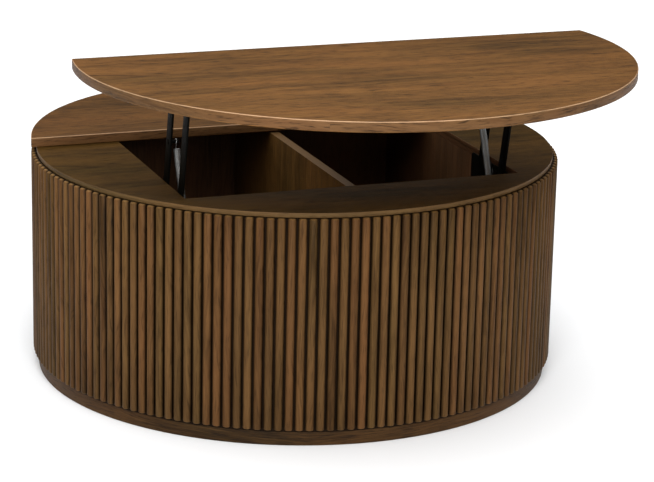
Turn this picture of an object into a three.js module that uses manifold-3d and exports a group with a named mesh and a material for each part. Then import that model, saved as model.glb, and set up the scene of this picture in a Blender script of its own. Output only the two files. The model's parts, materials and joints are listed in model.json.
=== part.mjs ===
// A round drum coffee table whose larger top half lifts up and forward on a pair of spring-assisted arms.
// Millimetres, +Z up. The origin is on the floor, on the drum's axis. +X is the right-hand side and +Y
// the back: the lifting top comes out towards -Y, and it stands in its raised position.
import * as THREE from "three";
import { mergeVertices } from "three/addons/utils/BufferGeometryUtils.js";
import Module from "manifold-3d";

// ---- Driving dimensions -------------------------------------------------------------------------
const GAP = 0.3; // left between pieces that rest on each other

const TABLE_RADIUS = 500; // over the flutes, and of both tops
const RIM_RADIUS = 490; // base board and deck, set back from the flutes
const BASE_HEIGHT = 26;
const DECK_TOP = 427;
const DECK_RIM = 9; // the part of the deck that shows above the flutes
const BOARD = 18; // deck, tops and divider
const WALL = 15; // storage box walls
const FLOOR_BOARD = 9;
const SHELL_INNER = 481;
const SHELL_OUTER = 486.7;
const EDGE_BREAK = 1.5; // bevel on the edges of the tops

const FLUTES = 168;
const FLUTE_PANELS = 4;
const FLUTE_BACK = 487; // inner radius of the fluted skin
const FLUTE_VALLEY = 492.5;
const FLUTE_SHOULDER = 498.4;
const VALLEY_SHARE = 0.08; // of the pitch, on each side of a flute
const SHOULDER_SHARE = 0.24; // of the pitch, from a flute's side to its shoulder

const OPENING = 320; // half the width and half the depth of the square storage opening
const DIVIDER_X = -5;
const SPLIT_Y = 100; // front edge of the fixed top
const SPLIT_GAP = 2; // between the two tops when the table is closed

const LIFT_HEIGHT = 216.2; // how far the lifting top rises
const LIFT_FORWARD = 300; // how far it comes forward
const LEAN_RAISED = THREE.MathUtils.degToRad(12); // forward lean of the raised arms, past upright

// The mechanism's places are (y, z). Its x places are distances from the middle of the table.
const FRONT_PIVOT = [-256, 367];
const REAR_PIVOT = [-164, 349];
const ARM_WIDTH = 25;
const ARM_X = [309, 313];
const BRACKET_X = [316.7, 319.7];
const EAR_X = [304.7, 307.7];
const FLANGE_INNER_X = 270;
const FLANGE_SCREW_X = 286;
const EAR_RADIUS = 12;
const PIVOT_RADIUS = 4;
const HEAD_RADIUS = 7;
const RUNNING = 0.3; // radial clearance of a pin in its hole
const SPRING_X = 298.5;
const SPRING_RADIUS = 6.75;
const SPRING_WIRE = 1; // wire radius
const SPRING_POST = [-262, 346]; // on the base bracket, below the front arm's end
const SPRING_STUD_AT = 153; // from the rear arm's lower pivot, along the arm
const STUD_RADIUS = 3;
const HOOK_REACH = 13; // from the middle of a hook's eye to the end of the coil
const END_TURNS = 4; // the length of coil that stays with the upper hook
const STOP_AT = 38; // from the front arm's lower pivot, along the arm
const SLEEVE_RADIUS = 5.5;
const BRACKET_Y = [-316, -116];
const BRACKET_Z = [333, 417];
const BRACKET_CHAMFER = 9;
const BRACKET_SCREWS = [[-304, 346], [-215, 402], [-128, 346]];
const SCREW_RADIUS = 2;
const SCREW_HEAD_RADIUS = 4.5;
const SCREW_HEAD = 2.2;
const SCREW_LENGTH = 14;
const FIXED_TOP_SCREWS = [[-410, 150], [-200, 380], [200, 380], [410, 150]]; // (x, y)
const FIXED_TOP_SCREW_LENGTH = 30;

// ---- What follows from them ---------------------------------------------------------------------
const climb = Math.atan(LIFT_HEIGHT / LIFT_FORWARD);
const leanClosed = LEAN_RAISED + 2 * climb; // backward lean of the closed arms
const armLength = Math.hypot(LIFT_HEIGHT, LIFT_FORWARD) / 2 / Math.sin(LEAN_RAISED + climb);
const fluteTop = DECK_TOP - DECK_RIM;
const deckUnderside = DECK_TOP - BOARD;
const topUnderside = DECK_TOP + GAP; // of both tops, the lifting one in its closed place

// A point some way along a raised or closed arm from its lower pivot.
function alongArm(pivot, distance, backwardLean) {
  return [
    pivot[0] + distance * Math.sin(backwardLean),
    pivot[1] + distance * Math.cos(backwardLean),
  ];
}

const springStud = alongArm(REAR_PIVOT, SPRING_STUD_AT, -LEAN_RAISED);
const springSpan = [springStud[0] - SPRING_POST[0], springStud[1] - SPRING_POST[1]];
const springLength = Math.hypot(...springSpan);
const springLean = Math.atan2(...springSpan);

// ---- Materials ----------------------------------------------------------------------------------
const FINISHES = {
  topWood: { color: 0x7a5433, roughness: 0.55, metalness: 0 },
  deckWood: { color: 0x4a3524, roughness: 0.6, metalness: 0 },
  fluteWood: { color: 0x5b3f29, roughness: 0.6, metalness: 0 },
  boxWood: { color: 0x4a3122, roughness: 0.65, metalness: 0 },
  blackSteel: { color: 0x1c1c1e, roughness: 0.45, metalness: 0.6 },
  zincSteel: { color: 0xa9abad, roughness: 0.3, metalness: 1 },
  springSteel: { color: 0xc3c5c7, roughness: 0.25, metalness: 1 },
  rubber: { color: 0x151515, roughness: 0.9, metalness: 0 },
};

const table = new THREE.Group();

function place(name, geometry, finish, parent = table) {
  const mesh = new THREE.Mesh(geometry, new THREE.MeshStandardMaterial(FINISHES[finish]));
  mesh.name = name;
  parent.add(mesh);
  return mesh;
}

// ---- Solids -------------------------------------------------------------------------------------
const ROUND = 80; // facets of the large rounds
const PIN_FACETS = 10;
const SCREW_FACETS = 8;
const COIL_FACETS = 12;
const WIRE_FACETS = 5;
const HOOK_STEPS = 16;
const ARC_SEGMENTS = 5; // in each round stretch of a plate's outline

const wasm = await Module();
wasm.setup();

function toSolid(geometry) {
  const bare = geometry.clone();
  bare.deleteAttribute("normal");
  bare.deleteAttribute("uv");
  const merged = mergeVertices(bare, 1e-3);
  return new wasm.Manifold(
    new wasm.Mesh({
      numProp: 3,
      vertProperties: merged.attributes.position.array,
      triVerts: new Uint32Array(merged.index.array),
    }),
  );
}

function toGeometry(solid) {
  const mesh = solid.getMesh();
  const geometry = new THREE.BufferGeometry();
  geometry.setAttribute("position", new THREE.BufferAttribute(mesh.vertProperties, 3));
  geometry.setIndex(new THREE.BufferAttribute(mesh.triVerts, 1));
  return geometry;
}

function join(...geometries) {
  return toGeometry(geometries.map(toSolid).reduce((sum, next) => sum.add(next)));
}

function cut(geometry, ...tools) {
  return toGeometry(tools.map(toSolid).reduce((rest, tool) => rest.subtract(tool), toSolid(geometry)));
}

function boxBetween([x0, y0, z0], [x1, y1, z1]) {
  return new THREE.BoxGeometry(x1 - x0, y1 - y0, z1 - z0)
    .translate((x0 + x1) / 2, (y0 + y1) / 2, (z0 + z1) / 2);
}

// A turned solid about +Z, from (radius, z) pairs that go up its outside.
function turned(profile, segments) {
  const points = profile.map(([radius, z]) => new THREE.Vector2(radius, z));
  return new THREE.LatheGeometry(points, segments).rotateX(Math.PI / 2);
}

// A turned pin about +X: stretches of [start, end, radius], from the middle of the table outwards.
function pin(stretches) {
  const points = [new THREE.Vector2(0, stretches[0][0])];
  for (const [start, end, radius] of stretches) {
    points.push(new THREE.Vector2(radius, start), new THREE.Vector2(radius, end));
  }
  points.push(new THREE.Vector2(0, stretches.at(-1)[1]));
  return new THREE.LatheGeometry(points, PIN_FACETS).rotateZ(-Math.PI / 2);
}

function ringPoints(x, y, radius, count) {
  return Array.from({ length: count }, (_, index) => {
    const angle = (2 * Math.PI * index) / count;
    return new THREE.Vector2(x + radius * Math.cos(angle), y + radius * Math.sin(angle));
  });
}

function roundHole(y, z, radius) {
  return new THREE.Path(ringPoints(y, z, radius, PIN_FACETS));
}

// A flat plate that stands in the YZ plane, between two distances from the middle on one side.
function plate(shape, [inner, outer], side) {
  const start = side > 0 ? inner : -outer;
  const turn = new THREE.Matrix4().makeBasis(
    new THREE.Vector3(0, 1, 0),
    new THREE.Vector3(0, 0, 1),
    new THREE.Vector3(1, 0, 0),
  );
  return new THREE.ExtrudeGeometry(shape, {
    depth: outer - inner,
    bevelEnabled: false,
    curveSegments: ARC_SEGMENTS,
  })
    .applyMatrix4(turn)
    .translate(start, 0, 0);
}

// ---- Base board, inner shell and fluted skin ----------------------------------------------------
function makeDrum() {
  const baseBoard = turned(
    [[0, 0], [RIM_RADIUS - 1, 0], [RIM_RADIUS, 1], [RIM_RADIUS, BASE_HEIGHT], [0, BASE_HEIGHT]],
    ROUND,
  );
  place("base_board", baseBoard, "deckWood");
  const shell = turned(
    [
      [SHELL_INNER, BASE_HEIGHT + GAP],
      [SHELL_OUTER, BASE_HEIGHT + GAP],
      [SHELL_OUTER, fluteTop],
      [SHELL_INNER, fluteTop],
      [SHELL_INNER, BASE_HEIGHT + GAP],
    ],
    ROUND,
  );
  place("inner_shell", shell, "boxWood");
}

// One curved panel of half-round flutes; its two ends stop in a valley.
function flutedPanel(startAngle) {
  const sector = (2 * Math.PI) / FLUTE_PANELS;
  const inset = GAP / 2 / FLUTE_BACK;
  const pitch = (2 * Math.PI) / FLUTES;
  const profile = [
    [VALLEY_SHARE, FLUTE_VALLEY],
    [SHOULDER_SHARE, FLUTE_SHOULDER],
    [0.5, TABLE_RADIUS],
    [1 - SHOULDER_SHARE, FLUTE_SHOULDER],
  ];
  const at = (angle, radius) => new THREE.Vector2(radius * Math.cos(angle), radius * Math.sin(angle));
  const outline = [at(startAngle + inset, FLUTE_VALLEY)];
  for (let flute = 0; flute < FLUTES / FLUTE_PANELS; flute += 1) {
    for (const [share, radius] of profile) {
      outline.push(at(startAngle + (flute + share) * pitch, radius));
    }
  }
  outline.push(at(startAngle + sector - VALLEY_SHARE * pitch, FLUTE_VALLEY));
  const innerSteps = ROUND / FLUTE_PANELS;
  for (let step = innerSteps; step >= 0; step -= 1) {
    const angle = startAngle + inset + ((sector - 2 * inset) * step) / innerSteps;
    outline.push(at(angle, FLUTE_BACK));
  }
  const height = fluteTop - BASE_HEIGHT - GAP;
  return new THREE.ExtrudeGeometry(new THREE.Shape(outline), { depth: height, bevelEnabled: false })
    .translate(0, 0, BASE_HEIGHT + GAP);
}

function makeFlutes() {
  const names = ["fluted_panel_right", "fluted_panel_back", "fluted_panel_left", "fluted_panel_front"];
  names.forEach((name, quarter) => {
    place(name, flutedPanel(-Math.PI / 4 + (quarter * Math.PI) / 2), "fluteWood");
  });
}

// ---- Deck, storage box and divider --------------------------------------------------------------
function upright(x, y, z, length, radius) {
  return new THREE.CylinderGeometry(radius, radius, length, SCREW_FACETS)
    .rotateX(Math.PI / 2)
    .translate(x, y, z + length / 2);
}

function makeDeck() {
  const disc = turned(
    [
      [0, deckUnderside],
      [SHELL_INNER - GAP, deckUnderside],
      [SHELL_INNER - GAP, fluteTop + GAP],
      [RIM_RADIUS, fluteTop + GAP],
      [RIM_RADIUS, DECK_TOP - 1],
      [RIM_RADIUS - 1, DECK_TOP],
      [0, DECK_TOP],
    ],
    ROUND,
  );
  const opening = boxBetween([-OPENING, -OPENING, deckUnderside - 1], [OPENING, OPENING, DECK_TOP + 1]);
  const holes = FIXED_TOP_SCREWS.map(([x, y]) => {
    return upright(x, y, deckUnderside - 1, BOARD + 2, SCREW_RADIUS + RUNNING);
  });
  place("deck_panel", cut(disc, opening, ...holes), "deckWood");
}

function screwHole(y, z, side) {
  const depth = SCREW_LENGTH - (BRACKET_X[1] - BRACKET_X[0]);
  const bore = SCREW_RADIUS + RUNNING;
  return new THREE.CylinderGeometry(bore, bore, depth + 1, SCREW_FACETS)
    .rotateZ(Math.PI / 2)
    .translate(side * (OPENING + (depth - 1) / 2 + RUNNING), y, z);
}

function makeStorageBox() {
  const foot = BASE_HEIGHT + GAP;
  const wallTop = deckUnderside - GAP;
  const outside = OPENING + WALL;
  const inside = OPENING - GAP;
  for (const [name, side] of [["wall_left", -1], ["wall_right", 1]]) {
    const [x0, x1] = side > 0 ? [OPENING, outside] : [-outside, -OPENING];
    const board = boxBetween([x0, -outside, foot], [x1, outside, wallTop]);
    const holes = BRACKET_SCREWS.map(([y, z]) => screwHole(y, z, side));
    place(name, cut(board, ...holes), "boxWood");
  }
  place("wall_front", boxBetween([-inside, -outside, foot], [inside, -OPENING, wallTop]), "boxWood");
  place("wall_back", boxBetween([-inside, OPENING, foot], [inside, outside, wallTop]), "boxWood");
  const floorTop = foot + FLOOR_BOARD;
  place("storage_floor", boxBetween([-inside, -inside, foot], [inside, inside, floorTop]), "boxWood");
  const divider = boxBetween(
    [DIVIDER_X - BOARD / 2, -inside, floorTop + GAP],
    [DIVIDER_X + BOARD / 2, inside, DECK_TOP - 3],
  );
  place("divider", divider, "boxWood");
}

// ---- The two tops -------------------------------------------------------------------------------
// A board cut from the table's round: the part behind y = split, or the part in front of it.
function segmentBoard(split, isBack) {
  const edge = Math.asin(split / TABLE_RADIUS);
  const [from, to] = isBack ? [edge, Math.PI - edge] : [-Math.PI - edge, edge];
  const shape = new THREE.Shape().absarc(0, 0, TABLE_RADIUS, from, to, false);
  return new THREE.ExtrudeGeometry(shape, {
    depth: BOARD - 2 * EDGE_BREAK,
    curveSegments: Math.round((ROUND * (to - from)) / (2 * Math.PI)),
    bevelThickness: EDGE_BREAK,
    bevelSize: EDGE_BREAK,
    bevelOffset: -EDGE_BREAK,
    bevelSegments: 1,
  }).translate(0, 0, topUnderside + EDGE_BREAK);
}

function makeFixedTop() {
  const start = deckUnderside - GAP;
  const holeTop = start + FIXED_TOP_SCREW_LENGTH + RUNNING;
  const holes = FIXED_TOP_SCREWS.map(([x, y]) => {
    return upright(x, y, DECK_TOP, holeTop - DECK_TOP, SCREW_RADIUS + RUNNING);
  });
  place("fixed_top", cut(segmentBoard(SPLIT_Y, true), ...holes), "topWood");
  FIXED_TOP_SCREWS.forEach(([x, y], index) => {
    const screw = screwUp(FIXED_TOP_SCREW_LENGTH).translate(x, y, start);
    place(`fixed_top_screw_${index + 1}`, screw, "zincSteel");
  });
}

// A pan-head screw about +Z: its head hangs below the seat, which is at z = 0.
function screwUp(length) {
  return turned(
    [
      [0, -SCREW_HEAD],
      [SCREW_HEAD_RADIUS * 0.7, -SCREW_HEAD],
      [SCREW_HEAD_RADIUS, -SCREW_HEAD * 0.4],
      [SCREW_HEAD_RADIUS, 0],
      [SCREW_RADIUS, 0],
      [SCREW_RADIUS, length - 2 * SCREW_RADIUS],
      [0, length],
    ],
    SCREW_FACETS,
  );
}

// ---- Lift mechanism -----------------------------------------------------------------------------
function armShape(holes) {
  const half = ARM_WIDTH / 2;
  const shape = new THREE.Shape()
    .absarc(0, armLength, half, 0, Math.PI, false)
    .absarc(0, 0, half, Math.PI, 2 * Math.PI, false);
  shape.holes = holes.map(([z, radius]) => roundHole(0, z, radius + RUNNING));
  return shape;
}

function makeBaseBracket(sideName, side) {
  const [front, back] = BRACKET_Y;
  const [low, high] = BRACKET_Z;
  const cutOff = BRACKET_CHAMFER;
  const shape = new THREE.Shape([
    new THREE.Vector2(front + cutOff, low),
    new THREE.Vector2(back - cutOff, low),
    new THREE.Vector2(back, low + cutOff),
    new THREE.Vector2(back, high - cutOff),
    new THREE.Vector2(back - cutOff, high),
    new THREE.Vector2(front + cutOff, high),
    new THREE.Vector2(front, high - cutOff),
    new THREE.Vector2(front, low + cutOff),
  ]);
  shape.holes = [
    roundHole(...FRONT_PIVOT, PIVOT_RADIUS + RUNNING),
    roundHole(...REAR_PIVOT, PIVOT_RADIUS + RUNNING),
    roundHole(...stopPlace(), STUD_RADIUS + RUNNING),
    roundHole(...SPRING_POST, STUD_RADIUS + RUNNING),
    ...BRACKET_SCREWS.map(([y, z]) => roundHole(y, z, SCREW_RADIUS + RUNNING)),
  ];
  place(`base_bracket_${sideName}`, plate(shape, BRACKET_X, side), "blackSteel");
  BRACKET_SCREWS.forEach(([y, z], index) => {
    const screw = screwUp(SCREW_LENGTH)
      .rotateY((side * Math.PI) / 2)
      .translate(side * (BRACKET_X[0] - GAP), y, z);
    place(`bracket_screw_${sideName}_${index + 1}`, screw, "zincSteel");
  });
}

// Pins are turned for the right-hand side, and face the other way on the left.
function placePin(name, stretches, [y, z], side, finish, parent = table) {
  const mesh = place(name, pin(stretches), finish, parent);
  mesh.position.set(0, y, z);
  mesh.rotation.z = side > 0 ? 0 : Math.PI;
}

// Where the front arm's leading edge meets the stop stud's sleeve when the top is raised.
function stopPlace() {
  const [y, z] = alongArm(FRONT_PIVOT, STOP_AT, -LEAN_RAISED);
  const reach = ARM_WIDTH / 2 + SLEEVE_RADIUS + GAP;
  return [y - reach * Math.cos(LEAN_RAISED), z - reach * Math.sin(LEAN_RAISED)];
}

const ARM_INNER = ARM_X[0] - GAP;
const ARM_OUTER = ARM_X[1] + GAP;
const BRACKET_INNER = BRACKET_X[0] - GAP;
const PIN_HEAD = 2.5;
const EYE_HALF = 3; // half the length of the groove that a spring's eye sits in
const EYE_FLANGE = [1.5, 4.4]; // thickness and radius of the flange at a stud's free end
const COLLAR = [1.2, 5]; // thickness and radius of the collars that hold a stud in its plate

// The grooved end that carries a spring's eye.
function eyeSeat(end) {
  const start = SPRING_X - EYE_HALF;
  return [
    [start - EYE_FLANGE[0], start, EYE_FLANGE[1]],
    [start, end, STUD_RADIUS],
  ];
}

function makePivotPins(sideName, side, liftGroup, closedPivots) {
  const basePin = [
    [ARM_INNER - PIN_HEAD, ARM_INNER, HEAD_RADIUS],
    [ARM_INNER, ARM_OUTER, PIVOT_RADIUS],
    [ARM_OUTER, BRACKET_INNER, HEAD_RADIUS],
    [BRACKET_INNER, BRACKET_X[1], PIVOT_RADIUS],
  ];
  placePin(`front_base_pin_${sideName}`, basePin, FRONT_PIVOT, side, "zincSteel");
  placePin(`rear_base_pin_${sideName}`, basePin, REAR_PIVOT, side, "zincSteel");
  const topPin = [
    [EAR_X[0] - GAP - PIN_HEAD, EAR_X[0] - GAP, HEAD_RADIUS],
    [EAR_X[0] - GAP, EAR_X[1] + GAP, PIVOT_RADIUS],
    [EAR_X[1] + GAP, ARM_INNER, HEAD_RADIUS],
    [ARM_INNER, ARM_OUTER, PIVOT_RADIUS],
    [ARM_OUTER, ARM_OUTER + PIN_HEAD, HEAD_RADIUS],
  ];
  placePin(`front_top_pin_${sideName}`, topPin, closedPivots.front, side, "zincSteel", liftGroup);
  placePin(`rear_top_pin_${sideName}`, topPin, closedPivots.rear, side, "zincSteel", liftGroup);
}

function makeStop(sideName, side) {
  const stud = [
    [ARM_INNER - PIN_HEAD, ARM_INNER, SLEEVE_RADIUS],
    [ARM_INNER, BRACKET_X[1], STUD_RADIUS],
  ];
  placePin(`stop_stud_${sideName}`, stud, stopPlace(), side, "zincSteel");
  const bore = STUD_RADIUS + RUNNING;
  const ring = [
    [bore, ARM_X[0]],
    [SLEEVE_RADIUS, ARM_X[0]],
    [SLEEVE_RADIUS, BRACKET_INNER],
    [bore, BRACKET_INNER],
    [bore, ARM_X[0]],
  ].map(([radius, x]) => new THREE.Vector2(radius, x));
  const sleeve = new THREE.LatheGeometry(ring, PIN_FACETS).rotateZ(-Math.PI / 2);
  const mesh = place(`stop_sleeve_${sideName}`, sleeve, "rubber");
  mesh.position.set(0, ...stopPlace());
  mesh.rotation.z = side > 0 ? 0 : Math.PI;
}

function makeArms(sideName, side) {
  const pivots = [[0, PIVOT_RADIUS], [armLength, PIVOT_RADIUS]];
  const arms = {
    front: { at: FRONT_PIVOT, holes: pivots },
    rear: { at: REAR_PIVOT, holes: [...pivots, [SPRING_STUD_AT, STUD_RADIUS]] },
  };
  for (const [name, arm] of Object.entries(arms)) {
    const swing = new THREE.Group();
    swing.position.set(0, ...arm.at);
    swing.rotation.x = LEAN_RAISED;
    table.add(swing);
    place(`${name}_arm_${sideName}`, plate(armShape(arm.holes), ARM_X, side), "blackSteel", swing);
  }
}

// The stud on the rear arm and the post on the base bracket that each hold one end of the spring.
function makeSpringEnds(sideName, side) {
  const [collar, collarRadius] = COLLAR;
  const stud = [
    ...eyeSeat(ARM_INNER - collar),
    [ARM_INNER - collar, ARM_INNER, collarRadius],
    [ARM_INNER, ARM_OUTER, STUD_RADIUS],
    [ARM_OUTER, ARM_OUTER + collar, collarRadius],
  ];
  placePin(`spring_stud_${sideName}`, stud, springStud, side, "blackSteel");
  const post = [
    ...eyeSeat(ARM_OUTER),
    [ARM_OUTER, BRACKET_INNER, collarRadius],
    [BRACKET_INNER, BRACKET_X[1], STUD_RADIUS],
  ];
  placePin(`spring_post_${sideName}`, post, SPRING_POST, side, "blackSteel");
}

// A hook of spring wire about the origin, in the YZ plane, whose straight end goes up into the coil.
function hook() {
  const eye = STUD_RADIUS + RUNNING + SPRING_WIRE;
  const points = [
    new THREE.Vector3(0, eye, HOOK_REACH + 2),
    new THREE.Vector3(0, eye, HOOK_REACH * 0.5),
  ];
  const turnSteps = 9;
  const lastAngle = THREE.MathUtils.degToRad(-250);
  for (let step = 0; step <= turnSteps; step += 1) {
    const angle = (lastAngle * step) / turnSteps;
    points.push(new THREE.Vector3(0, eye * Math.cos(angle), eye * Math.sin(angle)));
  }
  return new THREE.ExtrudeGeometry(new THREE.Shape(ringPoints(0, 0, SPRING_WIRE, WIRE_FACETS)), {
    steps: HOOK_STEPS,
    extrudePath: new THREE.CatmullRomCurve3(points),
  });
}

function coilBetween(start, end) {
  return turned([[0, start], [SPRING_RADIUS, start], [SPRING_RADIUS, end], [0, end]], COIL_FACETS);
}

function makeSpring(sideName, side) {
  const spring = new THREE.Group();
  spring.position.set(side * SPRING_X, ...SPRING_POST);
  spring.rotation.x = -springLean;
  table.add(spring);
  const coilEnd = springLength - HOOK_REACH;
  const coil = coilBetween(HOOK_REACH, coilEnd - END_TURNS - GAP);
  place(`spring_${sideName}`, join(coil, hook()), "springSteel", spring);
  const upperHook = hook().rotateX(Math.PI).translate(0, 0, springLength);
  const end = coilBetween(coilEnd - END_TURNS, coilEnd);
  place(`spring_hook_${sideName}`, join(end, upperHook), "springSteel", spring);
}

// The angle bracket under the lifting top: an ear that holds both arms, and a flange with its screws.
const FLANGE_Y = [-34, 94];
const FLANGE_SCREWS_Y = [-22, 32, 82];

function makeTopBracket(sideName, side, liftGroup, closedPivots) {
  const under = topUnderside - GAP;
  const thickness = EAR_X[1] - EAR_X[0];
  const [frontY, frontZ] = closedPivots.front;
  const [rearY, rearZ] = closedPivots.rear;
  const shape = new THREE.Shape()
    .moveTo(frontY - EAR_RADIUS, under)
    .lineTo(frontY - EAR_RADIUS, frontZ)
    .absarc(frontY, frontZ, EAR_RADIUS, -Math.PI, -Math.PI / 2, false)
    .absarc(rearY, rearZ, EAR_RADIUS, -Math.PI / 2, 0, false)
    .lineTo(rearY + EAR_RADIUS, under);
  shape.holes = [
    roundHole(frontY, frontZ, PIVOT_RADIUS + RUNNING),
    roundHole(rearY, rearZ, PIVOT_RADIUS + RUNNING),
  ];
  const ear = plate(shape, EAR_X, side);
  const [x0, x1] = side > 0 ? [FLANGE_INNER_X, EAR_X[1]] : [-EAR_X[1], -FLANGE_INNER_X];
  const flange = boxBetween([x0, FLANGE_Y[0], under - thickness], [x1, FLANGE_Y[1], under]);
  const places = FLANGE_SCREWS_Y.map((y) => [side * FLANGE_SCREW_X, y]);
  const bore = SCREW_RADIUS + RUNNING;
  const holes = places.map(([x, y]) => {
    return upright(x, y, under - thickness - 1, thickness + 2, bore);
  });
  place(`top_bracket_${sideName}`, cut(join(ear, flange), ...holes), "blackSteel", liftGroup);
  const seat = under - thickness - GAP;
  places.forEach(([x, y], index) => {
    const screw = screwUp(SCREW_LENGTH).translate(x, y, seat);
    place(`top_screw_${sideName}_${index + 1}`, screw, "zincSteel", liftGroup);
  });
  const depth = seat + SCREW_LENGTH + RUNNING - under;
  return places.map(([x, y]) => upright(x, y, under, depth, bore));
}

// Everything that rises with the lifting top is drawn in its closed place, inside a raised group.
function makeLift() {
  const lift = new THREE.Group();
  lift.position.set(0, -LIFT_FORWARD, LIFT_HEIGHT);
  table.add(lift);
  const closedPivots = {
    front: alongArm(FRONT_PIVOT, armLength, leanClosed),
    rear: alongArm(REAR_PIVOT, armLength, leanClosed),
  };
  const pilotHoles = [];
  for (const [sideName, side] of [["left", -1], ["right", 1]]) {
    makeBaseBracket(sideName, side);
    makeArms(sideName, side);
    makeSpringEnds(sideName, side);
    makePivotPins(sideName, side, lift, closedPivots);
    makeStop(sideName, side);
    makeSpring(sideName, side);
    pilotHoles.push(...makeTopBracket(sideName, side, lift, closedPivots));
  }
  place("lift_top", cut(segmentBoard(SPLIT_Y - SPLIT_GAP, false), ...pilotHoles), "topWood", lift);
}

makeDrum();
makeFlutes();
makeDeck();
makeStorageBox();
makeFixedTop();
makeLift();

export default table;
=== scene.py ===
import json
import math
import random

import bmesh
import bpy
from mathutils import Matrix, Vector
from mathutils.geometry import tessellate_polygon


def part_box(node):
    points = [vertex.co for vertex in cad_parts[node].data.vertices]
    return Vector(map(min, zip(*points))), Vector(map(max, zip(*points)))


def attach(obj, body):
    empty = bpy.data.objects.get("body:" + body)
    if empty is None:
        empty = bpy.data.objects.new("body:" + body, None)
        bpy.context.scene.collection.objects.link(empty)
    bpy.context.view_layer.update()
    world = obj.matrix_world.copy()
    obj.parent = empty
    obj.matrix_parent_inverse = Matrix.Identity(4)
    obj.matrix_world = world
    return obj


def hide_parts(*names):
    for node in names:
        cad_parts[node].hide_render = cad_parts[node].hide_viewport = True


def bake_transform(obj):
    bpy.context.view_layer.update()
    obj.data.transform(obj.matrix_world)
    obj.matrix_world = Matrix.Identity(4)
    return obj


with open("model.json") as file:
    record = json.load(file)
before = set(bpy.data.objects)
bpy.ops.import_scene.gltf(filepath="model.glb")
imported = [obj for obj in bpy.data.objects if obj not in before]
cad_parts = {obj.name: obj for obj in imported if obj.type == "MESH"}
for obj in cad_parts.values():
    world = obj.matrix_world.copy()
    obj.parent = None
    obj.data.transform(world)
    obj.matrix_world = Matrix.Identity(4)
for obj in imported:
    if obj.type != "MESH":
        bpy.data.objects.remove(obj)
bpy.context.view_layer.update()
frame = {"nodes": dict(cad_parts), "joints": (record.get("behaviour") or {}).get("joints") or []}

MM = 0.001
SIDES = (("left", -1), ("right", 1))
joints = {joint["name"]: joint for joint in frame["joints"]}


# ---- Camera, light and floor ----------------------------------------------------------------------
LENS = 137.06
CAMERA_PLACE = Vector((-1.5829, -4.3271, 1.5923))
CAMERA_AIM = Vector((0.0597, -0.0262, 0.2347))
CAMERA_ROLL = 0.0223
# Each soft light in the surround: its direction, where its edge starts and ends as a cosine, its strength.
SKY = (
    ((-0.05, 0, 1), 0.22, 0.95, 1.95),
    ((-0.20, -0.95, 0.30), 0.60, 0.98, 0.75),
)
SKY_COLOR = (1, 0.985, 0.96, 1)
BACKDROP = 1.0  # strength of the plain pale surround that stands behind the floor
KEY_PLACE = Vector((-1.05, -2.70, 1.85))
KEY_AIM = Vector((0, -0.2, 0.35))
KEY_SIZE = 1.2
KEY_POWER = 56
KEY_COLOR = (1.0, 0.985, 0.95)
FLOOR_HALF = 15.0
FLOOR_DROP = 0.0005
FLOOR_COLOR = (0.91, 0.93, 0.965, 1)


def make_camera():
    data = bpy.data.cameras.new("camera")
    data.lens = LENS
    camera = bpy.data.objects.new("camera", data)
    bpy.context.scene.collection.objects.link(camera)
    turn = (CAMERA_AIM - CAMERA_PLACE).to_track_quat("-Z", "Y").to_matrix().to_4x4()
    roll = Matrix.Rotation(CAMERA_ROLL, 4, "Z")
    camera.matrix_world = Matrix.Translation(CAMERA_PLACE) @ turn @ roll
    bpy.context.scene.camera = camera


def make_world():
    """A soft studio surround: bright overhead, dark towards the horizon, and brighter at the front."""
    world = bpy.data.worlds.new("studio")
    bpy.context.scene.world = world
    world.use_nodes = True
    tree = world.node_tree
    place = tree.nodes.new("ShaderNodeTexCoord")
    total = None
    for direction, start, end, strength in SKY:
        dot = tree.nodes.new("ShaderNodeVectorMath")
        dot.operation = "DOT_PRODUCT"
        dot.inputs[1].default_value = Vector(direction).normalized()
        tree.links.new(place.outputs["Generated"], dot.inputs[0])
        spread = tree.nodes.new("ShaderNodeMapRange")
        spread.interpolation_type = "SMOOTHSTEP"
        spread.inputs["From Min"].default_value = start
        spread.inputs["From Max"].default_value = end
        spread.inputs["To Min"].default_value = 0.0
        spread.inputs["To Max"].default_value = strength
        tree.links.new(dot.outputs["Value"], spread.inputs["Value"])
        if total is None:
            total = spread.outputs["Result"]
        else:
            add = tree.nodes.new("ShaderNodeMath")
            tree.links.new(total, add.inputs[0])
            tree.links.new(spread.outputs["Result"], add.inputs[1])
            total = add.outputs[0]
    path = tree.nodes.new("ShaderNodeLightPath")
    seen = tree.nodes.new("ShaderNodeMix")
    seen.inputs["B"].default_value = BACKDROP
    tree.links.new(path.outputs["Is Camera Ray"], seen.inputs["Factor"])
    tree.links.new(total, seen.inputs["A"])
    background = tree.nodes["Background"]
    background.inputs["Color"].default_value = SKY_COLOR
    tree.links.new(seen.outputs["Result"], background.inputs["Strength"])


def make_key_light():
    """A large soft light high at the front, a little to the left of the camera's line."""
    data = bpy.data.lights.new("key", "AREA")
    data.shape = "DISK"
    data.size = KEY_SIZE
    data.energy = KEY_POWER
    data.color = KEY_COLOR
    light = bpy.data.objects.new("key", data)
    light.location = KEY_PLACE
    light.rotation_euler = (KEY_AIM - KEY_PLACE).to_track_quat("-Z", "Y").to_euler()
    bpy.context.scene.collection.objects.link(light)


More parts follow.
